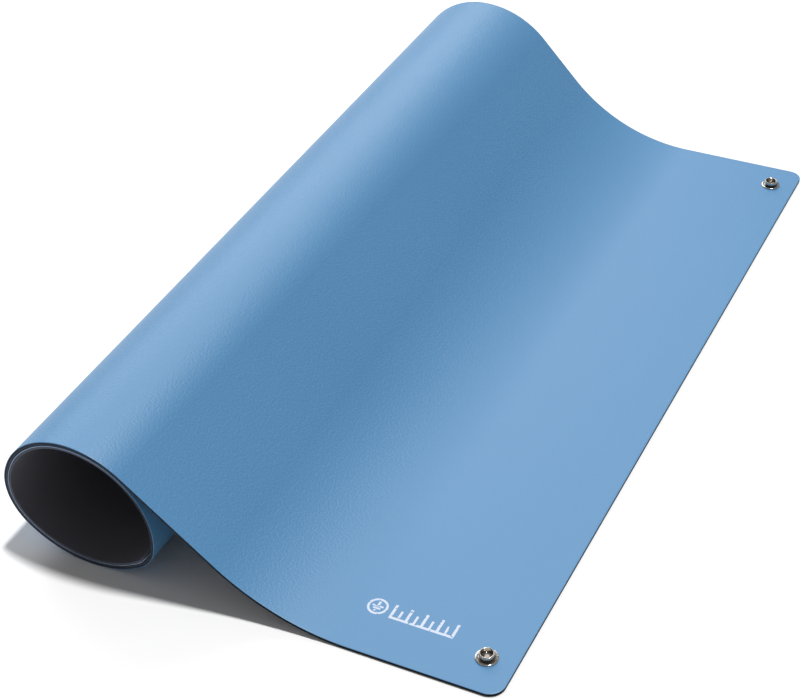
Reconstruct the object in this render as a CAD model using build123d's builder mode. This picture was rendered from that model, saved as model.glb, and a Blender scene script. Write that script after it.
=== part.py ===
from build123d import *

import os
from collections import namedtuple
from math import copysign, cos, radians, sin

os.makedirs("parts", exist_ok=True)

# A two-layer rubber bench mat, part rolled up, with a ground snap at both corners of its free edge.
# Millimetres. X runs across the sheet, +X towards the free edge, Y along the roll, +Z up.
# The origin is on the bench, under the middle of the whole mat.

# The sheet
mat_width = 600.0  # free edge, along the roll
mat_length = 800.0  # from the free edge to the end inside the roll, at mid thickness
surface_thickness = 0.5  # blue static-dissipative layer
base_thickness = 1.5  # black conductive layer
corner_radius = 10.0

# The flat part, from the free edge to the foot of the ramp
flat_length = 95.0
flap_width = 45.0  # stiffened by the snaps, so it stays flat as the free end lifts
foot_margin = 2.0  # flat sheet left between the last fold and the ramp
strip_count = 2  # strips that share the bend of the lifting free end
fold_gap = 0.2  # between neighbouring strips

# The roll
wrap_gap = 0.7  # air between one turn and the next
lap_count = 3  # turns laid out; the sheet ends in one of them, where its length runs out

# Bend radii of the blue face at one end of the roll, in the order that the sheet meets them
RollEnd = namedtuple("RollEnd", "ramp_angle ramp crest shoulder flank return_bend")
SheetStop = namedtuple("SheetStop", "bend point heading")
near_end = RollEnd(ramp_angle=39.0, ramp=138.0, crest=57.0, shoulder=52.5, flank=37.5, return_bend=52.0)
far_end = RollEnd(ramp_angle=47.5, ramp=132.0, crest=69.0, shoulder=58.0, flank=38.0, return_bend=44.0)

# Turns of the wrap after the crest, in degrees
shoulder_turn = 72.0
flank_turn = 66.0
belly_turn = 76.0
heel_turn = 46.0

# The snaps: a male stud on the blue face, clinched by an eyelet from below
snap_edge_inset = 18.5  # snap's axis to the free edge
snap_side_inset = 25.5  # snap's axis to the end of the roll
stud_flange_diameter = 14.0
stud_flange_height = 0.9
stud_neck_diameter = 8.5
stud_head_diameter = 9.5
stud_height = 4.2
stud_head_land = 1.2  # straight part of the head, which a snap socket grips
stud_dome_radius = 0.6  # rounds the head into its open top
stud_wall = 0.5
eyelet_flange_diameter = 11.0
eyelet_flange_thickness = 0.4
eyelet_barrel_diameter = 5.0
eyelet_wall = 0.4
eyelet_rim_reach = 0.7  # how far the rolled rim covers the stud's floor
barrel_clearance = 0.1  # on the radius, in the rubber and in the stud
flange_clearance = 0.05  # on the radius, around the eyelet's flange

mat_thickness = surface_thickness + base_thickness
wrap_pitch = mat_thickness + wrap_gap
strip_width = (flat_length - foot_margin - flap_width) / strip_count
fold_distances = [flap_width + i * strip_width for i in range(strip_count + 1)]


def unit_arc(heading, turn):
    """Travel across and up of an arc of radius 1 that starts at a heading and turns left, in degrees."""
    start, end = radians(heading), radians(heading + turn)
    return Vector(sin(end) - sin(start), cos(start) - cos(end))


def first_wrap(end):
    """Bends of the outer turn, as (radius, turn) pairs from the start of the crest.

    The belly and the heel take the radii that bring the turn back under its own start, one pitch in.
    """
    crest_heading = 180 - end.ramp_angle
    turns = [end.ramp_angle, shoulder_turn, flank_turn, belly_turn, heel_turn]
    turns.append(360 - sum(turns))
    headings = [crest_heading + sum(turns[:i]) for i in range(len(turns))]
    steps = [unit_arc(heading, turn) for heading, turn in zip(headings, turns)]
    crest, shoulder, flank, belly, heel, return_bend = steps
    inward = -wrap_pitch * Vector(sin(radians(crest_heading)), -cos(radians(crest_heading)))
    known = crest * end.crest + shoulder * end.shoulder + flank * end.flank + return_bend * end.return_bend
    need = inward - known
    scale = belly.X * heel.Y - belly.Y * heel.X
    belly_radius = (need.X * heel.Y - need.Y * heel.X) / scale
    heel_radius = (belly.X * need.Y - belly.Y * need.X) / scale
    radii = [end.crest, end.shoulder, end.flank, belly_radius, heel_radius, end.return_bend]
    return list(zip(radii, turns))


def slope_length(end):
    """Straight length of the ramp that leaves the roll's underside just on the bench."""
    crest, shoulder, flank, belly = first_wrap(end)[:4]
    belly_heading = 180 + shoulder_turn + flank_turn
    drop = unit_arc(180 - end.ramp_angle, end.ramp_angle) * crest[0]
    drop += unit_arc(180, shoulder_turn) * shoulder[0]
    drop += unit_arc(180 + shoulder_turn, flank_turn) * flank[0]
    drop += unit_arc(belly_heading, 360 - belly_heading) * belly[0]
    foot_rise = end.ramp * (1 - cos(radians(end.ramp_angle)))
    return (-drop.Y - mat_thickness - foot_rise) / sin(radians(end.ramp_angle))


def roll_reach(end):
    """Distance from the free edge to the roll's far side."""
    angle = radians(end.ramp_angle)
    crest_start = flat_length + end.ramp * sin(angle) + slope_length(end) * cos(angle)
    over_top = end.crest * sin(angle) + end.shoulder * sin(radians(shoulder_turn))
    return crest_start + over_top + end.flank * (1 - sin(radians(shoulder_turn)))


def mid_length(radius, turn):
    """Length at mid thickness of one bend of the blue face, or of a straight, which has no turn."""
    if turn == 0:
        return radius
    return radians(abs(turn)) * (radius - copysign(mat_thickness / 2, turn))


def laid_bends(end):
    """Bends of one end from the last fold line inwards, as (radius or length, turn) pairs."""
    laps = [(radius - lap * wrap_pitch, turn) for lap in range(lap_count) for radius, turn in first_wrap(end)]
    return [(foot_margin, 0), (end.ramp, -end.ramp_angle), (slope_length(end), 0)] + laps


def travel(heading, size, turn, share):
    """Way from the start of a bend to a share of it."""
    if turn == 0:
        return size * share * Vector(cos(radians(heading)), sin(radians(heading)))
    return size * copysign(1, turn) * unit_arc(heading, turn * share)


def sheet_stop(bends):
    """Bend, place on the blue face and heading where the sheet ends, at one end of the roll."""
    left = mat_length - fold_distances[-1]
    point = Vector(edge_x - fold_distances[-1], mat_thickness)
    heading = 180
    for number, (size, turn) in enumerate(bends):
        share = min(1, left / mid_length(size, turn))
        point += travel(heading, size, turn, share)
        heading += turn * share
        if share < 1:
            return SheetStop(number, point, heading)
        left -= mid_length(size, turn)
    raise ValueError("lap_count is too small for mat_length")


def layer_outline(bends, first, last, top, bottom):
    """Outline of one layer from bend first up to bend last, seen from the end of the roll.

    Top and bottom are depths below the blue face.
    """
    with BuildLine() as outline:
        caps = []
        for depth in (top, bottom):
            point = Vector(edge_x - fold_distances[-1], mat_thickness - depth)
            heading = 180
            for number, (size, turn) in enumerate(bends[:last]):
                way = (cos(radians(heading)), sin(radians(heading)))
                radius = size if turn == 0 else size - copysign(depth, turn)
                target = point + travel(heading, radius, turn, 1)
                if number == first:
                    start = point
                if number >= first and turn == 0:
                    Line(point, target)
                if number >= first and turn != 0:
                    JernArc(point, way, radius, turn)
                point = target
                heading += turn
            caps.append((start, point))
        Line(caps[0][0], caps[1][0])
        Line(caps[0][1], caps[1][1])
    return outline.edges()


edge_x = max(roll_reach(near_end), roll_reach(far_end)) / 2
near_bends = laid_bends(near_end)
far_bends = laid_bends(far_end)
near_stop = sheet_stop(near_bends)
far_stop = sheet_stop(far_bends)
snap_x = edge_x - snap_edge_inset
snap_y = mat_width / 2 - snap_side_inset
snap_spots = [(snap_x, -snap_y), (snap_x, snap_y)]
snap_places = {"near": snap_spots[0], "far": snap_spots[1]}

# Depths below the blue face: top and bottom of each layer
layers = {"surface": (0, surface_thickness), "base": (surface_thickness, mat_thickness)}

# The sheet's inner end is straight, so it crosses the bends that lie between its stops at both ends
# of the roll. The plane of that cut faces along the sheet.
first_cut_bend = min(near_stop.bend, far_stop.bend)
last_cut_bend = max(near_stop.bend, far_stop.bend)
near_corner = Vector(near_stop.point.X, -mat_width / 2, near_stop.point.Y)
far_corner = Vector(far_stop.point.X, mat_width / 2, far_stop.point.Y)
mean_heading = radians((near_stop.heading + far_stop.heading) / 2)
outward = Vector(sin(mean_heading), 0, -cos(mean_heading))
cut_line = far_corner - near_corner
inner_cut = Plane(origin=near_corner, x_dir=cut_line, z_dir=outward.cross(cut_line))


def lofted_layer(first, last, top, bottom):
    """One layer between the two ends of the roll, from bend first up to bend last."""
    with BuildPart() as layer:
        for side, bends in ((1, near_bends), (-1, far_bends)):
            with BuildSketch(Plane.XZ.offset(side * mat_width / 2)):
                make_face(layer_outline(bends, first, last, top, bottom))
        loft(ruled=True)
    return layer.part


# The rolled part, from the last fold line over the ramp and round the roll
for name, (top, bottom) in layers.items():
    with BuildPart() as inner:
        add(lofted_layer(first_cut_bend, last_cut_bend + 1, top, bottom))
        split(bisect_by=inner_cut, keep=Keep.BOTTOM)
    with BuildPart() as rolled:
        add(lofted_layer(0, first_cut_bend, top, bottom))
        add(inner.part)
    rolled.part.label = f"{name}_rolled"
    export_step(rolled.part, f"parts/{name}_rolled.step")

# The bend strips, from the ramp towards the flap
for name, (top, bottom) in layers.items():
    for number in range(strip_count):
        outer_x = edge_x - fold_distances[strip_count - number - 1]
        middle_x = outer_x - strip_width / 2
        with BuildPart() as strip:
            with BuildSketch(Plane.XY.offset(mat_thickness - bottom)):
                with Locations((middle_x, 0)):
                    Rectangle(strip_width - fold_gap, mat_width)
            extrude(amount=bottom - top)
        strip.part.label = f"{name}_strip_{number + 1}"
        export_step(strip.part, f"parts/{name}_strip_{number + 1}.step")

# The flap at the free edge, pierced and recessed for the snaps
for name, (top, bottom) in layers.items():
    with BuildPart() as flap:
        with BuildSketch(Plane.XY.offset(mat_thickness - bottom)):
            with Locations((edge_x, 0)):
                Rectangle(flap_width - fold_gap / 2, mat_width, align=(Align.MAX, Align.CENTER))
        extrude(amount=bottom - top)
        fillet(flap.edges().filter_by(Axis.Z).group_by(Axis.X)[-1], corner_radius)
        with BuildSketch(Plane.XY):
            with Locations(*snap_spots):
                Circle(eyelet_barrel_diameter / 2 + barrel_clearance)
        extrude(amount=mat_thickness, mode=Mode.SUBTRACT)
        with BuildSketch(Plane.XY):
            with Locations(*snap_spots):
                Circle(eyelet_flange_diameter / 2 + flange_clearance)
        extrude(amount=eyelet_flange_thickness, mode=Mode.SUBTRACT)
    flap.part.label = f"{name}_flap"
    export_step(flap.part, f"parts/{name}_flap.step")


def stud_outline(foot):
    """Half section of the snap stud: a rolled flange, a neck and a hollow head wider than the neck."""
    bore = eyelet_barrel_diameter / 2 + barrel_clearance
    flange = stud_flange_diameter / 2
    curl = stud_flange_height / 2
    neck = stud_neck_diameter / 2
    head = stud_head_diameter / 2
    flange_top = foot + stud_flange_height
    neck_top = flange_top + stud_wall
    crown = foot + stud_height
    land_foot = crown - stud_dome_radius - stud_head_land
    well = neck - stud_wall
    with BuildLine() as outline:
        floor = Line((bore, foot), (flange - curl, foot))
        edge = JernArc(floor @ 1, (1, 0), curl, 180)
        step = Line(edge @ 1, (neck, flange_top))
        stem = Line(step @ 1, (neck, neck_top))
        flare = Line(stem @ 1, (head, land_foot))
        land = Line(flare @ 1, (head, land_foot + stud_head_land))
        dome = JernArc(land @ 1, (0, 1), stud_dome_radius, 90)
        lip = Line(dome @ 1, (well, crown))
        wall = Line(lip @ 1, (well, foot + stud_wall))
        seat = Line(wall @ 1, (bore, foot + stud_wall))
        Line(seat @ 1, floor @ 0)
    return outline.edges()


def eyelet_outline(seat):
    """Half section of the eyelet: a flat flange, a barrel, and a rim rolled over the stud's floor."""
    barrel = eyelet_barrel_diameter / 2
    bore = barrel - eyelet_wall
    roll_radius = (eyelet_wall + eyelet_rim_reach) / 2
    with BuildLine() as outline:
        flange = Line((bore, 0), (eyelet_flange_diameter / 2, 0))
        edge = Line(flange @ 1, (eyelet_flange_diameter / 2, eyelet_flange_thickness))
        shoulder = Line(edge @ 1, (barrel, eyelet_flange_thickness))
        stem = Line(shoulder @ 1, (barrel, seat))
        under = Line(stem @ 1, (barrel + eyelet_rim_reach, seat))
        rim = JernArc(under @ 1, (0, 1), roll_radius, 180)
        Line(rim @ 1, flange @ 0)
    return outline.edges()


# The snaps, one stud and one eyelet at each corner
for name, (x, y) in snap_places.items():
    axis = Axis((x, y, 0), (0, 0, 1))
    section = Plane(origin=(x, y, 0), x_dir=(1, 0, 0), z_dir=(0, -1, 0))
    with BuildPart() as stud:
        with BuildSketch(section):
            make_face(stud_outline(mat_thickness))
        revolve(axis=axis)
    stud.part.label = f"snap_stud_{name}"
    export_step(stud.part, f"parts/snap_stud_{name}.step")

    with BuildPart() as eyelet:
        with BuildSketch(section):
            make_face(eyelet_outline(mat_thickness + stud_wall))
        revolve(axis=axis)
    eyelet.part.label = f"snap_eyelet_{name}"
    export_step(eyelet.part, f"parts/snap_eyelet_{name}.step")
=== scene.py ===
# %% [markdown]
# # A rolled-up bench mat
# A static-dissipative bench mat is a sheet of rubber in two layers that are vulcanised together: a thin
# blue face that tools lie on, and a thicker black back that carries charge away. This one lies half
# rolled up, with its free edge flat on the bench and a nickel ground snap at each corner of that edge.
# The CAD model gives every size. Here the same pieces get fine meshes and real materials.

import math

import bmesh
import bpy
import numpy as np
from mathutils import Matrix, Vector


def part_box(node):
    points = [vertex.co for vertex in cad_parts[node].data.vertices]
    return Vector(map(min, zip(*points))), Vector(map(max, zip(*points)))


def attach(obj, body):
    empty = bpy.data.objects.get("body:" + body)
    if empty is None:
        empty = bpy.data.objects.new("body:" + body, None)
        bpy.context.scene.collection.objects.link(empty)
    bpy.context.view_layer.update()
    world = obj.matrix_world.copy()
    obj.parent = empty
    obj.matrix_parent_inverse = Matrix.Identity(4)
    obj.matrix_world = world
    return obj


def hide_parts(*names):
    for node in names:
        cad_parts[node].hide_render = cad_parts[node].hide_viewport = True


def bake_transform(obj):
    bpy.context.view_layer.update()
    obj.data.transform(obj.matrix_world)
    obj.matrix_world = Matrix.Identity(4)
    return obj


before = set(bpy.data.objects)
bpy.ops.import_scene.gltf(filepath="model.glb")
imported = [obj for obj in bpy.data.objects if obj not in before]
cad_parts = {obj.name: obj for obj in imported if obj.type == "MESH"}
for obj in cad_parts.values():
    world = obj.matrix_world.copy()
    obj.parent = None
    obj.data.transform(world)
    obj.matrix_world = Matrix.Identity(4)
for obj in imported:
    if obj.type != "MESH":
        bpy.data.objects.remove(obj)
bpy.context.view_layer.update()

# %% [markdown]
# ## The camera
# The camera stands to the right of the mat's near end and looks down along the roll. A long lens keeps
# the far edge nearly as wide as the near one. It is set from three turns: the heading about Z, the tilt
# about the camera's own X, and a slight roll about its line of sight.

# %% Camera
free_edge_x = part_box("surface_flap")[1].x
near_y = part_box("surface_flap")[0].y
far_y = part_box("surface_flap")[1].y

# metres to the right of the free edge, in front of the near end, and above the bench
beside, in_front, above = 0.28266, 0.65058, 0.78734
heading_degrees, look_down_degrees, bank_degrees = 27.31, 37.24, -2.315

camera = bpy.data.objects.new("camera", bpy.data.cameras.new("camera"))
bpy.context.scene.collection.objects.link(camera)
camera.data.sensor_width = 36.0
camera.data.lens = 83.62
camera_place = Vector((free_edge_x + beside, near_y - in_front, above))
heading = Matrix.Rotation(math.radians(heading_degrees), 4, "Z")
tilt = Matrix.Rotation(math.radians(90.0 - look_down_degrees), 4, "X")
bank = Matrix.Rotation(math.radians(bank_degrees), 4, "Z")
camera.matrix_world = Matrix.Translation(camera_place) @ heading @ tilt @ bank
bpy.context.scene.camera = camera
print("camera at", [round(x, 3) for x in camera_place])

# %% [markdown]
# ## The bench and the light
# The bench is a plain white sweep, so it is one large flat mesh. One soft sun stands
# almost overhead, a little behind the mat, so the shadow stays under the roll and shows a narrow rim in
# front of it. A large softbox at the back left stands where the rubber mirrors it to the camera, so it
# puts the pale sheen on the roll's crest and a weaker one on the flat part. The ramp faces away from it
# and keeps the rubber's own, deeper blue. A weak white sky fills the shadows.


# %% Colours from hex
def linear(hex_colour):
    """An sRGB hex colour as linear RGBA."""
    values = [int(hex_colour[i : i + 2], 16) / 255 for i in (1, 3, 5)]
    rgb = [v / 12.92 if v <= 0.04045 else ((v + 0.055) / 1.055) ** 2.4 for v in values]
    return (*rgb, 1.0)


# %% One function for nodes
def add(material, kind, inputs=None, **settings):
    """A new node with its settings. An input is a value, or the output socket of another node."""
    tree = material.node_tree
    node = tree.nodes.new(kind)
    for name, value in settings.items():
        setattr(node, name, value)
    for name, value in (inputs or {}).items():
        if isinstance(value, bpy.types.NodeSocket):
            tree.links.new(value, node.inputs[name])
        else:
            node.inputs[name].default_value = value
    return node


def new_material(name):
    """An empty node material with only its output."""
    material = bpy.data.materials.new(name)
    material.use_nodes = True
    material.node_tree.nodes.clear()
    return material


def finish_material(material, shader):
    """Links the shader to a new output."""
    add(material, "ShaderNodeOutputMaterial", {"Surface": shader.outputs[0]})
    print("material", material.name, "has", len(material.node_tree.nodes), "nodes")


# %% Bench
def bench_mesh(half_side, z):
    """A square of faces that lies flat at height z."""
    bm = bmesh.new()
    corners = [(-1, -1), (1, -1), (1, 1), (-1, 1)]
    bm.faces.new([bm.verts.new((x * half_side, y * half_side, z)) for x, y in corners])
    bmesh.ops.subdivide_edges(bm, edges=bm.edges, cuts=3, use_grid_fill=True)
    mesh = bpy.data.meshes.new("bench")
    bm.to_mesh(mesh)
    bm.free()
    return mesh


white_paint = new_material("white_matt_paint")
finish_material(
    white_paint,
    add(
        white_paint,
        "ShaderNodeBsdfPrincipled",
        {"Base Color": linear("#F4F4F4"), "Roughness": 0.9, "Specular IOR Level": 0.1},
    ),
)
bench_half_side = 12.0
bench_gap = 0.0004  # keeps the bench's face off the mat's underside
bench = bpy.data.objects.new("bench", bench_mesh(bench_half_side, -bench_gap))
bench.data.materials.append(white_paint)
bpy.context.scene.collection.objects.link(bench)

# %% Lights
world = bpy.data.worlds.new("studio")
bpy.context.scene.world = world
world.use_nodes = True
world.node_tree.nodes["Background"].inputs["Color"].default_value = linear("#FFFFFF")
world.node_tree.nodes["Background"].inputs["Strength"].default_value = 0.23
bpy.context.scene.view_settings.view_transform = "Standard"


def aim(obj, place, target):
    """Puts a light or camera at place, looking at target."""
    direction = Vector(target) - Vector(place)
    turn = direction.to_track_quat("-Z", "Y").to_matrix().to_4x4()
    obj.matrix_world = Matrix.Translation(Vector(place)) @ turn


overhead = bpy.data.objects.new("overhead_sun", bpy.data.lights.new("overhead_sun", "SUN"))
overhead.data.energy = 2.8
overhead.data.angle = math.radians(6.0)
bpy.context.scene.collection.objects.link(overhead)
aim(overhead, (0.08, 0.19, 1.0), (0.0, 0.0, 0.0))

softbox = bpy.data.objects.new("softbox_back_left", bpy.data.lights.new("softbox_back_left", "AREA"))
softbox.data.shape = "RECTANGLE"
softbox.data.size, softbox.data.size_y = 2.8, 1.7
softbox.data.energy = 41.0
bpy.context.scene.collection.objects.link(softbox)
aim(softbox, (-1.65, 1.85, 1.65), (-0.05, -0.05, 0.05))

# %% [markdown]
# ## The line that the sheet follows
# Seen from the end of the roll, the blue face is a chain of straights and arcs: flat on the bench, up
# the ramp, over the crest, and down round the roll, where it winds inward by one pitch a turn. The two
# ends of the roll differ a little, because the far end is fuller. Each point of the sheet is on a
# straight line between the matching points of the two ends. The fuller end uses up more rubber in a
# turn, so the sheet's inner end, cut square, stops a little earlier in the wrap there. The bends repeat
# the CAD's own sizes, in millimetres, so that the fine mesh lies where the CAD solids are.

# %% Sheet sizes in millimetres
MM = 0.001
width = (far_y - near_y) / MM
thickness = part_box("surface_flap")[1].z / MM
blue_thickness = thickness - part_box("surface_flap")[0].z / MM
start_x = free_edge_x / MM
length = 800.0
flat_length = 95.0
flap_width = 45.0
strip_width = 24.0
folds = [flap_width, flap_width + strip_width, flap_width + 2 * strip_width]
air_gap = 0.7
pitch = thickness + air_gap
laps = 2
wrap_turns = [72.0, 66.0, 76.0, 46.0]  # degrees of the shoulder, flank, belly and heel
corner_radius = 10.0
print("sheet", width, "x", length, "x", round(thickness, 3), "mm, blue layer", round(blue_thickness, 3))


# %% Bends of one end of the roll
def unit_arc(from_heading, turn):
    """Travel of an arc of radius 1 that turns left, as (across, up)."""
    a, b = math.radians(from_heading), math.radians(from_heading + turn)
    return np.array([math.sin(b) - math.sin(a), math.cos(a) - math.cos(b)])


def roll_bends(ramp_angle, ramp, crest, shoulder, flank, return_bend):
    """(radius, turn) of each bend from the free edge inwards. A straight is (length, 0).

    The belly and the heel take the radii that close the first turn one pitch inside its start.
    """
    turns = [ramp_angle, *wrap_turns]
    turns.append(360.0 - sum(turns))
    headings = [180.0 - ramp_angle + sum(turns[:i]) for i in range(len(turns))]
    arcs = [unit_arc(h, t) for h, t in zip(headings, turns)]
    rise = math.radians(180.0 - ramp_angle)
    inward = -pitch * np.array([math.sin(rise), -math.cos(rise)])
    known = arcs[0] * crest + arcs[1] * shoulder + arcs[2] * flank + arcs[5] * return_bend
    belly, heel = np.linalg.solve(np.array([arcs[3], arcs[4]]).T, inward - known)
    radii = [crest, shoulder, flank, belly, heel, return_bend]
    to_bottom = sum(r * unit_arc(h, t) for r, h, t in zip(radii[:3], headings[:3], turns[:3]))
    to_bottom += belly * unit_arc(headings[3], 360.0 - headings[3])
    foot = ramp * (1 - math.cos(math.radians(ramp_angle)))
    slope = (-to_bottom[1] - thickness - foot) / math.sin(math.radians(ramp_angle))
    wraps = [(r - lap * pitch, t) for lap in range(laps) for r, t in zip(radii, turns)]
    return [(flat_length, 0.0), (ramp, -ramp_angle), (slope, 0.0)] + wraps


near_end = roll_bends(
    ramp_angle=39.0, ramp=138.0, crest=57.0, shoulder=52.5, flank=37.5, return_bend=52.0
)
far_end = roll_bends(
    ramp_angle=47.5, ramp=132.0, crest=69.0, shoulder=58.0, flank=38.0, return_bend=44.0
)
print("near end", [(round(r, 1), round(t, 1)) for r, t in near_end])


# %% Where each bend starts
def mid_length(size, turn):
    """Length of a bend at the middle of the sheet's thickness."""
    if turn == 0:
        return size
    return math.radians(abs(turn)) * (size - math.copysign(thickness / 2, turn))


def bend_starts(bends):
    """Start point and heading of every bend on the blue face."""
    point, angle, starts = np.array([start_x, thickness]), 180.0, []
    for size, turn in bends:
        starts.append((point[0], point[1], angle))
        if turn == 0:
            step = size * np.array([math.cos(math.radians(angle)), math.sin(math.radians(angle))])
        else:
            step = size * unit_arc(angle, turn) * math.copysign(1, turn)
        point, angle = point + step, angle + turn
    return np.array(starts)


ends = []
for bends in (near_end, far_end):
    lengths = np.array([mid_length(*bend) for bend in bends])
    ends.append({"bends": np.array(bends), "starts": bend_starts(bends), "lengths": lengths})
for end in ends:
    end["marks"] = np.concatenate([[0.0], np.cumsum(end["lengths"])])
    print("bends start at", end["marks"].round(1), "mm from the free edge")


# %% A point of the sheet
def line_point(end, bend, share, depth):
    """Points at a depth under the blue face, seen from one end, in mm."""
    size, turn = np.moveaxis(end["bends"][bend], -1, 0)
    x, z, angle = np.moveaxis(end["starts"][bend], -1, 0)
    a, b = np.radians(angle), np.radians(angle + turn * share)
    side = np.sign(turn)
    arc_x = side * size * (np.sin(b) - np.sin(a))
    arc_z = side * size * (np.cos(a) - np.cos(b))
    straight = size * share
    x = x + np.where(turn == 0, straight * np.cos(a), arc_x) - depth * np.sin(b)
    z = z + np.where(turn == 0, straight * np.sin(a), arc_z) + depth * np.cos(b)
    return x, z


def sheet_point(along, across, depth):
    """Places of sheet points in metres.

    On the flat sheet, along is the distance from the free edge and across the distance from the near
    end, in mm. Each bend starts at its own distance at each end of the roll, and evenly in between.
    """
    part = across / width
    marks = [end["marks"] for end in ends]
    here = marks[0] + (marks[1] - marks[0]) * part[..., None]
    bend = np.clip((along[..., None] >= here).sum(-1) - 1, 0, here.shape[-1] - 2)
    before = np.take_along_axis(here, bend[..., None], -1)[..., 0]
    after = np.take_along_axis(here, bend[..., None] + 1, -1)[..., 0]
    share = (along - before) / (after - before)
    near = line_point(ends[0], bend, share, depth)
    far = line_point(ends[1], bend, share, depth)
    x, z = [n + (f - n) * part for n, f in zip(near, far)]
    return np.stack([x * MM, near_y + across * MM, z * MM], axis=-1)


far_line = np.arange(flat_length, length)
probe = sheet_point(far_line, np.full(len(far_line), width), 0.0)

# %% [markdown]
# ## One layer as a fine mesh
# A rubber sheet is stamped out with a steel rule die. The cut is square, with the top edge drawn over by
# a fraction of a millimetre, and the corners are rounded. A grid of quads fits such a sheet: rows run
# along the roll and columns across it. Near the outline the grid's top sinks along a small arc, which
# gives the drawn-over edge, and near a corner the rows bend to follow the rounding. A wall of quads
# joins top and bottom, so every layer is one closed solid.


# %% Outline of the mat
def corner_cut(side_distance):
    """How far a rounded corner moves the end of the sheet in, for a distance from its side."""
    inside = np.clip(corner_radius - side_distance, 0.0, corner_radius)
    return corner_radius - np.sqrt(corner_radius**2 - inside**2)


def follow_corners(along, across):
    """Moves grid points near both ends of the sheet so that rows follow the rounded corners."""
    cut = corner_cut(np.minimum(across, width - across))
    zone = 2.0 * corner_radius
    return along + cut * (np.clip(1 - along / zone, 0, 1) - np.clip(1 - (length - along) / zone, 0, 1))


def outline_distance(along, across):
    """Distance from the sheet's outline, rounded corners included."""
    side, end = np.minimum(across, width - across), np.minimum(along, length - along)
    in_corner = (side < corner_radius) & (end < corner_radius)
    to_arc = corner_radius - np.hypot(corner_radius - side, corner_radius - end)
    return np.clip(np.where(in_corner, to_arc, np.minimum(side, end)), 0.0, None)


def edge_drop(distance, radius):
    """How far a rounded edge lies under the face, for a distance from the outline."""
    inside = np.clip(radius - distance, 0.0, radius)
    return radius - np.sqrt(radius**2 - inside**2)


# %% Grid lines
# close columns at the rim and round the corner, then wide ones, all in mm from a side
edge_rounding = 0.22
rim_steps = edge_rounding * (1 - np.cos(np.radians([0, 30, 60, 90])))
corner_steps = corner_radius * (1 - np.cos(np.radians([22, 33, 45, 57, 68, 79, 90])))
half_across = np.concatenate([rim_steps, corner_steps, [14.0, 20.0]])
margin = 30.0
middle = np.linspace(margin, width - margin, 31)
columns = np.concatenate([half_across, middle, (width - half_across)[::-1]])


def grid_rows(first, last, step=1.5):
    """Distances from the free edge of the rows between two fold lines or ends."""
    rows = [np.linspace(first, last, round((last - first) / step) + 1)]
    if first == 0:
        rows.append(rim_steps)
    if last == length:
        rows.append(length - rim_steps)
    return np.unique(np.concatenate(rows).round(6))


# %% A closed layer between two rows
def layer_mesh(name, first, last, top, bottom, top_rounding, bottom_rounding):
    """One layer of the sheet from row first to row last, between two depths under the blue face."""
    rows = grid_rows(first, last)
    along, across = np.meshgrid(rows, columns, indexing="ij")
    along = follow_corners(along, across)
    distance = outline_distance(along, across)
    upper = sheet_point(along, across, top + edge_drop(distance, top_rounding))
    lower = sheet_point(along, across, bottom - edge_drop(distance, bottom_rounding))
    n, m = along.shape
    number = np.arange(n * m).reshape(n, m)
    under = number + n * m
    quads = np.stack([number[:-1, :-1], number[1:, :-1], number[1:, 1:], number[:-1, 1:]], -1)
    faces = [quads.reshape(-1, 4), (quads + n * m)[..., ::-1].reshape(-1, 4)]
    rims = [(number[:, 0], under[:, 0], 1), (number[:, -1], under[:, -1], -1)]
    rims += [(number[0], under[0], -1), (number[-1], under[-1], 1)]
    for rim, low_rim, way in rims:
        wall = np.stack([rim[:-1], low_rim[:-1], low_rim[1:], rim[1:]], -1)
        faces.append(wall[:, ::way])
    mesh = bpy.data.meshes.new(name)
    points = np.concatenate([upper.reshape(-1, 3), lower.reshape(-1, 3)])
    mesh.from_pydata(points.tolist(), [], np.concatenate(faces).tolist())
    flat_place = np.stack([along * MM, across * MM], -1).reshape(-1, 2)
    flat_place = np.concatenate([flat_place, flat_place])
    corner_vertex = np.zeros(len(mesh.loops), int)
    mesh.loops.foreach_get("vertex_index", corner_vertex)
    mesh.uv_layers.new(name="sheet").data.foreach_set("uv", flat_place[corner_vertex].ravel())
    on_wall = np.arange(len(mesh.polygons)) >= 2 * (n - 1) * (m - 1)
    mesh.polygons.foreach_set("material_index", on_wall.astype(int))
    return mesh


def shade(mesh, sharp_degrees=38.0):
    """Points all faces outwards and smooths them across all but the sharp edges."""
    bm = bmesh.new()
    bm.from_mesh(mesh)
    bmesh.ops.recalc_face_normals(bm, faces=bm.faces)
    bm.to_mesh(mesh)
    bm.free()
    mesh.shade_smooth()
    mesh.set_sharp_from_angle(angle=math.radians(sharp_degrees))


# %% [markdown]
# ## Blue nitrile rubber, embossed
# The face is nitrile rubber, calendered against an embossed roller and vulcanised. The eye gets an even,
# satin blue, with a fine pebble grain that catches light on the ramp and a soft, pale sheen where the
# roll turns away. The pattern is set out in the sheet's own flat coordinates, kept in the UV map named
# sheet in metres, so the grain keeps its real size round the roll.


# %% Flat coordinates of the sheet
def flat_place_of(material):
    """The UV map that holds each point's place on the flat sheet, in metres."""
    return add(material, "ShaderNodeUVMap", uv_map="sheet").outputs["UV"]


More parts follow.
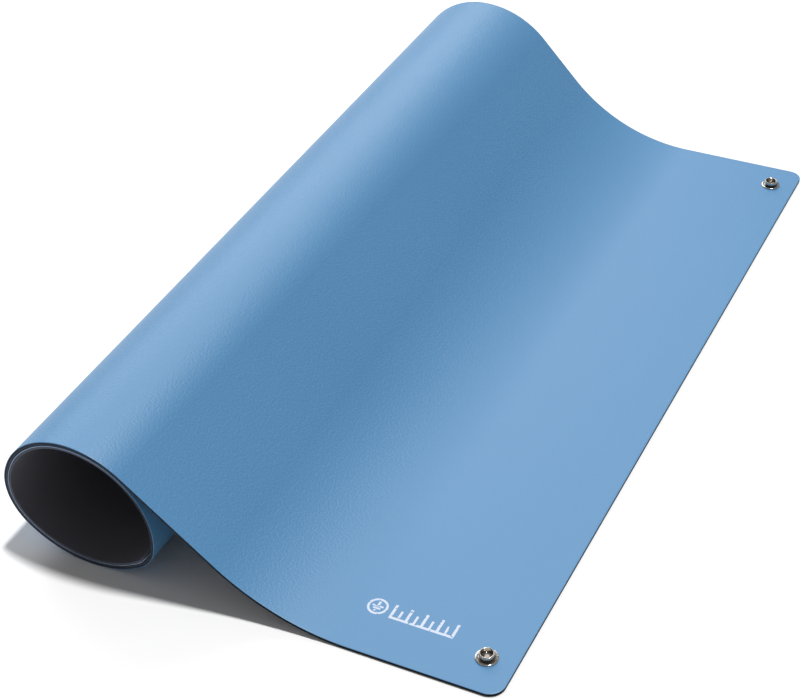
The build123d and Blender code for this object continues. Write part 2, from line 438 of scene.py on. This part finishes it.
def pebble_grain(material, place, grain_mm, depth_mm, strength):
    """Bump of an embossed face: rounded pebbles of one size with a finer grit on them.

    Strength is a number, or a socket where the grain changes along the sheet.
    """
    pebbles = add(
        material,
        "ShaderNodeTexVoronoi",
        {"Vector": place, "Scale": 1 / (grain_mm * MM), "Smoothness": 0.7, "Randomness": 0.95},
        voronoi_dimensions="2D",
        feature="SMOOTH_F1",
    )
    grit = add(
        material,
        "ShaderNodeTexNoise",
        {"Vector": place, "Scale": 2.4 / (grain_mm * MM), "Detail": 2.0, "Roughness": 0.6},
        noise_dimensions="2D",
    )
    fine = add(material, "ShaderNodeMath", {0: grit.outputs["Fac"], 1: 0.3}, operation="MULTIPLY")
    height = add(
        material,
        "ShaderNodeMath",
        {0: pebbles.outputs["Distance"], 1: -1.0, 2: fine.outputs[0]},
        operation="MULTIPLY_ADD",
    )
    bump = add(
        material,
        "ShaderNodeBump",
        {"Height": height.outputs[0], "Distance": depth_mm * MM, "Strength": strength},
    )
    return bump.outputs["Normal"], height.outputs[0]


# %% [markdown]
# ## The print
# White ink is screen-printed on the blue face next to the near snap. It is part of the finish, so it is
# a mask in the material and not a piece. It shows an earth symbol in a ring, which is the usual sign for
# a grounding point, and a plain scale of five-millimetre ticks. Each mark is a box or a ring in
# millimetres from the print's centre. Ink on an embossed face misses the deepest pits, so the grain's
# own height takes small bites out of it.


# %% Ink mask
print_from_free_edge, print_from_near_end = 72.0, 37.0
deepest_pit = -0.5  # ink misses the grain's pits below this height


def ink_mask(material, place, grain):
    """1 where ink lies: an earth symbol in a ring and a scale of ticks."""
    parts = add(material, "ShaderNodeSeparateXYZ", {"Vector": place})

    def maths(operation, *values):
        inputs = dict(enumerate(values))
        return add(material, "ShaderNodeMath", inputs, operation=operation).outputs[0]

    # millimetres from the print's centre
    right = maths("MULTIPLY_ADD", parts.outputs["X"], -1 / MM, print_from_free_edge)
    up = maths("MULTIPLY_ADD", parts.outputs["Y"], 1 / MM, -print_from_near_end)

    def box(centre_right, half_right, centre_up, half_up):
        inside = maths("COMPARE", right, centre_right, half_right)
        return maths("MULTIPLY", inside, maths("COMPARE", up, centre_up, half_up))

    symbol_right = -22.0
    from_symbol = maths("SUBTRACT", right, symbol_right)
    radius = maths("SQRT", maths("ADD", maths("POWER", from_symbol, 2.0), maths("POWER", up, 2.0)))
    marks = maths("COMPARE", radius, 5.75, 0.75)
    # the stem and the three bars: half width, middle, half height
    earth = [(0.75, 2.2, 2.0), (3.6, 0.3, 0.65), (2.4, -1.6, 0.65), (1.2, -3.5, 0.65)]
    for half_right, centre_up, half_up in earth:
        marks = maths("MAXIMUM", marks, box(symbol_right, half_right, centre_up, half_up))
    # a tick every 5 mm and a tall one every 10 mm, on a base line
    scale_middle, scale_half = 8.5, 20.0
    tick_half, tall_half = 0.75, 0.9
    in_scale = maths("COMPARE", right, scale_middle, scale_half + tall_half)
    along = maths("SUBTRACT", right, scale_middle)
    tick = maths("COMPARE", maths("WRAP", along, 2.5, -2.5), 0.0, tick_half)
    tick = maths("MULTIPLY", tick, maths("COMPARE", up, -1.5, 3.5))
    tall = maths("COMPARE", maths("WRAP", along, 5.0, -5.0), 0.0, tall_half)
    tall = maths("MULTIPLY", tall, maths("COMPARE", up, 0.3, 5.3))
    base_line = maths("COMPARE", up, -5.1, 0.9)
    scale = maths("MAXIMUM", maths("MAXIMUM", tick, tall), base_line)
    marks = maths("MAXIMUM", marks, maths("MULTIPLY", scale, in_scale))
    covered = maths("GREATER_THAN", grain, deepest_pit)
    return maths("MULTIPLY", marks, covered)


# %% Blue face
def blue_face():
    """Embossed blue nitrile rubber: satin, IOR of about 1.52, with a soft, wide highlight."""
    material = new_material("embossed_nitrile_rubber_blue")
    place = flat_place_of(material)
    # tools and boards polish the flat end, so its grain is shallower than the roll's
    along = add(material, "ShaderNodeSeparateXYZ", {"Vector": place}).outputs["X"]
    wear = add(
        material,
        "ShaderNodeMapRange",
        {"Value": along, "From Min": 0.10, "From Max": 0.19, "To Min": 0.25, "To Max": 1.0},
        interpolation_type="SMOOTHSTEP",
    )
    worn = wear.outputs["Result"]
    normal, height = pebble_grain(material, place, grain_mm=1.7, depth_mm=0.12, strength=worn)
    clouds = add(
        material,
        "ShaderNodeTexNoise",
        {"Vector": place, "Scale": 1 / 0.16, "Detail": 3.0},
        noise_dimensions="2D",
    )
    colour = add(
        material,
        "ShaderNodeMix",
        {"Factor": clouds.outputs["Fac"], "A": linear("#4880AC"), "B": linear("#4C84B0")},
        data_type="RGBA",
    )
    ink = ink_mask(material, place, height)
    printed = add(
        material,
        "ShaderNodeMix",
        {"Factor": ink, "A": colour.outputs["Result"], "B": linear("#C3CCDD")},
        data_type="RGBA",
    )
    rough = add(
        material,
        "ShaderNodeMapRange",
        {"Value": height, "From Min": -0.5, "From Max": 0.2, "To Min": 0.5, "To Max": 0.4},
    )
    shader = add(
        material,
        "ShaderNodeBsdfPrincipled",
        {
            "Base Color": printed.outputs["Result"],
            "Roughness": rough.outputs["Result"],
            "Normal": normal,
            "IOR": 1.52,
            "Specular IOR Level": 0.7,
        },
    )
    finish_material(material, shader)
    return material


blue_rubber = blue_face()

# %% [markdown]
# ## Black rubber and the cut edges
# The back is the same rubber, filled with carbon black. It is calendered against a smooth roller, so it
# is plain and matt. A die-cut edge is a fresh surface: it is drawn in fine lines across the thickness.
# Its tone is painted light: painted shade makes it darkest along the flat part at the free edge, and a
# painted highlight makes the inner turn's edge pale. The edge's noise uses only the flat coordinates,
# which don't change through the thickness, so it makes those lines by itself.


# %% Black back
def black_back():
    """Carbon-filled nitrile rubber with a fine, dull grain."""
    material = new_material("carbon_filled_rubber_black")
    place = flat_place_of(material)
    normal, height = pebble_grain(material, place, grain_mm=0.9, depth_mm=0.03, strength=0.5)
    rough = add(
        material,
        "ShaderNodeMapRange",
        {"Value": height, "From Min": -0.5, "From Max": 0.2, "To Min": 0.7, "To Max": 0.6},
    )
    clouds = add(
        material,
        "ShaderNodeTexNoise",
        {"Vector": place, "Scale": 1 / 0.05, "Detail": 4.0},
        noise_dimensions="2D",
    )
    colour = add(
        material,
        "ShaderNodeMix",
        {"Factor": clouds.outputs["Fac"], "A": linear("#5A5A62"), "B": linear("#64646C")},
        data_type="RGBA",
    )
    shader = add(
        material,
        "ShaderNodeBsdfPrincipled",
        {
            "Base Color": colour.outputs["Result"],
            "Roughness": rough.outputs["Result"],
            "Normal": normal,
            "IOR": 1.52,
        },
    )
    finish_material(material, shader)
    return material


# %% Cut edges
bends_before_wraps = 3  # the flat part, the ramp's foot and its slope
bends_in_wrap = len(wrap_turns) + 2  # with the crest before them and the return bend after
inner_turn_mm = float(ends[0]["marks"][bends_before_wraps + bends_in_wrap])
print("the inner turn starts", round(inner_turn_mm, 1), "mm from the free edge")


def cut_edge(name, flap_shade_tone, turn_tone, inner_highlight_tone):
    """A die-cut rubber edge whose tone is painted light: painted shade at the flap, then the outer turn's
    tone, then a pale painted highlight on the inner turn.
    """
    material = new_material(name)
    place = flat_place_of(material)
    parts = add(material, "ShaderNodeSeparateXYZ", {"Vector": place})
    share = add(
        material,
        "ShaderNodeMapRange",
        {"Value": parts.outputs["X"], "From Min": 0.0, "From Max": length * MM},
    )
    tones = add(material, "ShaderNodeValToRGB", {"Fac": share.outputs["Result"]})
    ramp = tones.color_ramp
    stops = [(150.0, flap_shade_tone), (300.0, turn_tone), (inner_turn_mm - 20.0, turn_tone)]
    stops.append((inner_turn_mm + 20.0, inner_highlight_tone))
    while len(ramp.elements) < len(stops):
        ramp.elements.new(0.5)
    for element, (distance, tone) in zip(ramp.elements, stops):
        element.position = distance / length
        element.color = linear(tone)
    # die lines every 0.5 mm or so
    lines = add(
        material,
        "ShaderNodeTexNoise",
        {"Vector": place, "Scale": 1 / (0.5 * MM), "Detail": 2.0},
        noise_dimensions="2D",
    )
    brightness = add(
        material,
        "ShaderNodeMapRange",
        {"Value": lines.outputs["Fac"], "From Min": 0.3, "From Max": 0.7, "To Min": 0.85, "To Max": 1.15},
    )
    streaked = add(
        material,
        "ShaderNodeHueSaturation",
        {"Color": tones.outputs["Color"], "Value": brightness.outputs["Result"]},
    )
    bump = add(
        material,
        "ShaderNodeBump",
        {"Height": lines.outputs["Fac"], "Distance": 0.03 * MM, "Strength": 0.4},
    )
    shader = add(
        material,
        "ShaderNodeBsdfPrincipled",
        {
            "Base Color": streaked.outputs["Color"],
            "Roughness": 0.7,
            "Normal": bump.outputs["Normal"],
            "IOR": 1.52,
            "Specular IOR Level": 0.1,
        },
    )
    finish_material(material, shader)
    return material


black_rubber = black_back()
# the cut edges' tones are painted light: dark painted shade near the free edge, a pale painted highlight
# on the inner turn
blue_edge = cut_edge("die_cut_rubber_blue", "#16283F", "#3B5270", "#B3BDD4")
black_edge = cut_edge("die_cut_rubber_black", "#05080D", "#262E3B", "#4A5364")

# %% [markdown]
# ## The sheet's pieces
# The free edge can be lifted, so the CAD model divides the flat part into a flap, two strips that share
# the bend, and the rolled part. Real rubber bends smoothly. Each visible piece ends half a strip past its
# fold line. A table gives, for each piece after the flap, the bodies before and after its joint and where
# a blend of the joint's turn would start and end; the first would start only 6 mm before its line, which
# would keep the rubber off the bench. No blend is set up: those pieces stay where they lie, and the
# flap's pieces, with the patch around the snaps, are attached rigidly to the flap.

# %% Layers and stretches of the sheet
half_strip = strip_width / 2
first_blend_lead = 6.0
seams = [fold - half_strip for fold in folds]
stretches = {
    "rolled": (seams[2], length),
    "strip_1": (seams[1], seams[2]),
    "strip_2": (seams[0], seams[1]),
    "flap": (0.0, seams[0]),
}
layers = {
    "surface": (0.0, blue_thickness, edge_rounding, 0.0),
    "base": (blue_thickness, thickness, 0.0, edge_rounding),
}
finishes = {"surface": (blue_rubber, blue_edge), "base": (black_rubber, black_edge)}
looks = {"surface": "blue", "base": "black"}
sheet_pieces = {}
for layer, (top, bottom, top_rounding, bottom_rounding) in layers.items():
    for stretch, (first, last) in stretches.items():
        name = f"{looks[layer]}_{stretch}"
        mesh = layer_mesh(name, first, last, top, bottom, top_rounding, bottom_rounding)
        for finish in finishes[layer]:
            mesh.materials.append(finish)
        piece = bpy.data.objects.new(name, mesh)
        bpy.context.scene.collection.objects.link(piece)
        sheet_pieces[layer, stretch] = piece
        print(name, len(mesh.polygons), "faces")

# %% [markdown]
# ## Profiles for turned and pressed metal
# The snap's parts are drawn from sheet brass in a press, and every one of them is round about its axis.
# So each is a closed half section, with a small radius at every corner as a press leaves it, that is
# turned about the axis. A section is a list of corners: radius from the axis, height, and rounding, all
# in millimetres.


# %% Rounded sections
def rounded_section(corners, steps=6):
    """Points of a closed section whose corners are replaced by arcs. Corners are (r, z, rounding)."""
    points = []
    count = len(corners)
    for i, (r, z, rounding) in enumerate(corners):
        here = np.array([r, z])
        before = np.array(corners[i - 1][:2]) - here
        after = np.array(corners[(i + 1) % count][:2]) - here
        before, after = before / np.linalg.norm(before), after / np.linalg.norm(after)
        half = math.acos(float(np.clip(before @ after, -1, 1))) / 2
        if rounding == 0 or half > 1.56:
            points.append(here)
            continue
        centre = here + (before + after) / np.linalg.norm(before + after) * rounding / math.sin(half)
        first = here + before * rounding / math.tan(half) - centre
        last = here + after * rounding / math.tan(half) - centre
        sweep = math.pi - 2 * half
        for k in range(steps + 1):
            a = math.sin((1 - k / steps) * sweep) / math.sin(sweep)
            b = math.sin(k / steps * sweep) / math.sin(sweep)
            points.append(centre + a * first + b * last)
    return points


# %% Painted shade between flange and head, and inside the head
# millimetres above the blue face and from the axis
neck_height, neck_reach, neck_rim = 1.5, 1.2, 5.6
well_height, well_reach, well_rim = 1.9, 1.9, 3.9
well_share = 0.5  # the painted shade in the open well is half as strong
darkening = 1.3


def painted_shade_depth(r, z):
    """Painted shade at a point of a snap, from 0 to 1, by how deep it lies between flange and head, or
    inside the head.
    """
    height = z - thickness
    neck = max(0.0, 1 - abs(height - neck_height) / neck_reach) * (well_rim < r < neck_rim)
    well = well_share * max(0.0, 1 - abs(height - well_height) / well_reach) * (r < well_rim)
    return float(min(1.0, darkening * max(neck, well)))


# %% Turned parts
barrel_bore = 2.3  # the rim's petals lie outside it


def turned_mesh(name, section, axis_x, axis_y, sides=96, petals=0, petal_depth=0.0, petal_from=0.0):
    """A section turned about a vertical axis. Petals push the part above a height out in waves.

    A float attribute holds painted shade: 1 at points that the section's own outline shelters, such as a
    neck.
    """
    bm = bmesh.new()
    painted_groove_shade = bm.verts.layers.float.new("painted_groove_shade")
    rings = []
    for k in range(sides):
        angle = 2 * math.pi * k / sides
        ring = []
        for r, z in section:
            lift = max(0.0, z - petal_from) if petals else 0.0
            reach = r + petal_depth * math.cos(petals * angle) * min(1.0, lift) * (r > barrel_bore)
            spot = (axis_x + reach * MM * math.cos(angle), axis_y + reach * MM * math.sin(angle), z * MM)
            vertex = bm.verts.new(spot)
            vertex[painted_groove_shade] = painted_shade_depth(r, z)
            ring.append(vertex)
        rings.append(ring)
    for k in range(sides):
        a, b = rings[k], rings[(k + 1) % sides]
        for i in range(len(section)):
            j = (i + 1) % len(section)
            bm.faces.new((a[i], b[i], b[j], a[j]))
    bmesh.ops.recalc_face_normals(bm, faces=bm.faces)
    mesh = bpy.data.meshes.new(name)
    bm.to_mesh(mesh)
    bm.free()
    mesh.shade_smooth()
    mesh.set_sharp_from_angle(angle=math.radians(50.0))
    return mesh


# %% [markdown]
# ## Holes for the snaps
# An eyelet goes through both layers, and its flange is pressed into the back until it is flush. One
# cutter has both sizes, the barrel's hole and the flange's recess, and a boolean takes it out of the
# flap. It is applied at once, so the flap's mesh is final before it is attached to the flap's body.

# %% Pierce the flap
snap_spots = {}
for side in ("near", "far"):
    low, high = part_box(f"snap_stud_{side}")
    snap_spots[side] = ((low.x + high.x) / 2, (low.y + high.y) / 2)
print("snaps at", snap_spots)

# radius and height: the flange's recess below, the barrel's hole above, and a core to be closed
core, recess, hole = 0.02, 5.55, 2.6
cutter_section = [(core, -1.0), (recess, -1.0), (recess, 0.4), (hole, 0.4), (hole, 4.0), (core, 4.0)]


def pierce(piece):
    """Cuts both snap holes out of a flap layer."""
    for side, (x, y) in snap_spots.items():
        plug = bpy.data.objects.new("cutter", turned_mesh("cutter", cutter_section, x, y, sides=64))
        bm = bmesh.new()
        bm.from_mesh(plug.data)
        bm.verts.ensure_lookup_table()
        on_axis = [v for v in bm.verts if math.hypot(v.co.x - x, v.co.y - y) < 0.1 * MM]
        bmesh.ops.remove_doubles(bm, verts=on_axis, dist=0.1 * MM)
        bmesh.ops.recalc_face_normals(bm, faces=bm.faces)
        bm.to_mesh(plug.data)
        bm.free()
        bpy.context.scene.collection.objects.link(plug)
        cut = piece.modifiers.new("snap_hole", "BOOLEAN")
        cut.operation, cut.solver, cut.object = "DIFFERENCE", "EXACT", plug
        graph = bpy.context.evaluated_depsgraph_get()
        pierced = bpy.data.meshes.new_from_object(piece.evaluated_get(graph))
        piece.modifiers.clear()
        piece.data = pierced
        bpy.data.objects.remove(plug)


for layer in layers:
    flap = sheet_pieces[layer, "flap"]
    pierce(flap)
    print("pierced", flap.name, len(flap.data.polygons), "faces")

# %% Shade each sheet piece, hide its CAD part, and attach the flap's pieces to the flap
blend_ends = {
    "rolled": ("rolled", "strip_1", folds[2] + first_blend_lead, seams[2]),
    "strip_1": ("strip_1", "strip_2", seams[2], seams[1]),
    "strip_2": ("strip_2", "flap", seams[1], seams[0]),
}
for (layer, stretch), piece in sheet_pieces.items():
    shade(piece.data)
    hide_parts(f"{layer}_{stretch}")
    if stretch == "flap":
        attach(piece, "flap")
    else:
        before, after, start, end = blend_ends[stretch]
        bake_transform(piece)
    first, last = stretches[stretch]

# %% [markdown]
# ## Nickel-plated snaps
# The stud and the eyelet are pressed brass with bright nickel over it. Nickel is a slightly warm, grey
# metal. Plating over a pressed part keeps faint turning rings and gets fine scratches where cords are
# snapped on, so its gloss is uneven. A metal's colour is in its reflections; besides them, painted shade
# darkens the neck between flange and head and, more weakly, the inside of the head.


# %% Nickel
def nickel_plate():
    """Bright nickel plate on pressed brass: warm grey, with painted shade darkening its neck and well."""
    material = new_material("nickel_plated_brass")
    place = add(material, "ShaderNodeNewGeometry").outputs["Position"]
    scuffs = add(material, "ShaderNodeTexNoise", {"Vector": place, "Scale": 1 / 0.0011, "Detail": 5.0})
    painted_groove_shade = add(material, "ShaderNodeAttribute", attribute_name="painted_groove_shade").outputs["Fac"]
    rough = add(
        material,
        "ShaderNodeMapRange",
        {"Value": scuffs.outputs["Fac"], "From Min": 0.3, "From Max": 0.7, "To Min": 0.08, "To Max": 0.2},
    )
    tone = add(
        material,
        "ShaderNodeMix",
        {"Factor": scuffs.outputs["Fac"], "A": linear("#CBC4BA"), "B": linear("#E6E2DB")},
        data_type="RGBA",
    )
    # painted shade: the neck between flange and head, and more weakly the inside of the head, go dark
    # brown
    painted_shade_tone = add(
        material,
        "ShaderNodeMix",
        {"Factor": painted_groove_shade, "A": tone.outputs["Result"], "B": linear("#3A2E26")},
        data_type="RGBA",
    )
    bump = add(
        material,
        "ShaderNodeBump",
        {"Height": scuffs.outputs["Fac"], "Distance": 0.01 * MM, "Strength": 0.25},
    )
    shader = add(
        material,
        "ShaderNodeBsdfPrincipled",
        {
            "Base Color": painted_shade_tone.outputs["Result"],
            "Roughness": rough.outputs["Result"],
            "Normal": bump.outputs["Normal"],
            "Metallic": 1.0,
        },
    )
    finish_material(material, shader)
    return material


nickel = nickel_plate()

# %% Stud and eyelet sections
foot = thickness
stud_section = rounded_section(
    [
        (2.6, foot, 0.1),
        (7.0, foot, 0.42),
        (7.0, foot + 0.9, 0.42),
        (5.0, foot + 0.86, 0.3),
        (4.25, foot + 1.0, 0.3),
        (4.25, foot + 1.5, 0.4),
        (4.75, foot + 2.35, 0.4),
        (4.75, foot + 3.65, 0.5),
        (4.3, foot + 4.2, 0.2),
        (3.75, foot + 4.2, 0.2),
        (3.72, foot + 0.5, 0.35),
        (2.6, foot + 0.5, 0.1),
    ]
)
eyelet_section = rounded_section(
    [
        (2.1, 0.0, 0.3),
        (5.5, 0.0, 0.15),
        (5.5, 0.4, 0.1),
        (2.5, 0.4, 0.1),
        (2.5, foot + 0.5, 0.1),
        (3.2, foot + 0.52, 0.25),
        (3.2, foot + 1.2, 0.35),
        (2.75, foot + 1.6, 0.3),
        (2.1, foot + 1.1, 0.25),
    ]
)

# %% Snaps
for side, (x, y) in snap_spots.items():
    stud_mesh = turned_mesh(f"stud_{side}", stud_section, x, y)
    eyelet_mesh = turned_mesh(
        f"eyelet_{side}", eyelet_section, x, y, petals=6, petal_depth=0.12, petal_from=foot + 0.6
    )
    for part, mesh in (("stud", stud_mesh), ("eyelet", eyelet_mesh)):
        mesh.materials.append(nickel)
        piece = bpy.data.objects.new(f"nickel_{part}_{side}", mesh)
        bpy.context.scene.collection.objects.link(piece)
        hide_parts(f"snap_{part}_{side}")
        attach(piece, "flap")
        print(piece.name, len(mesh.polygons), "faces")
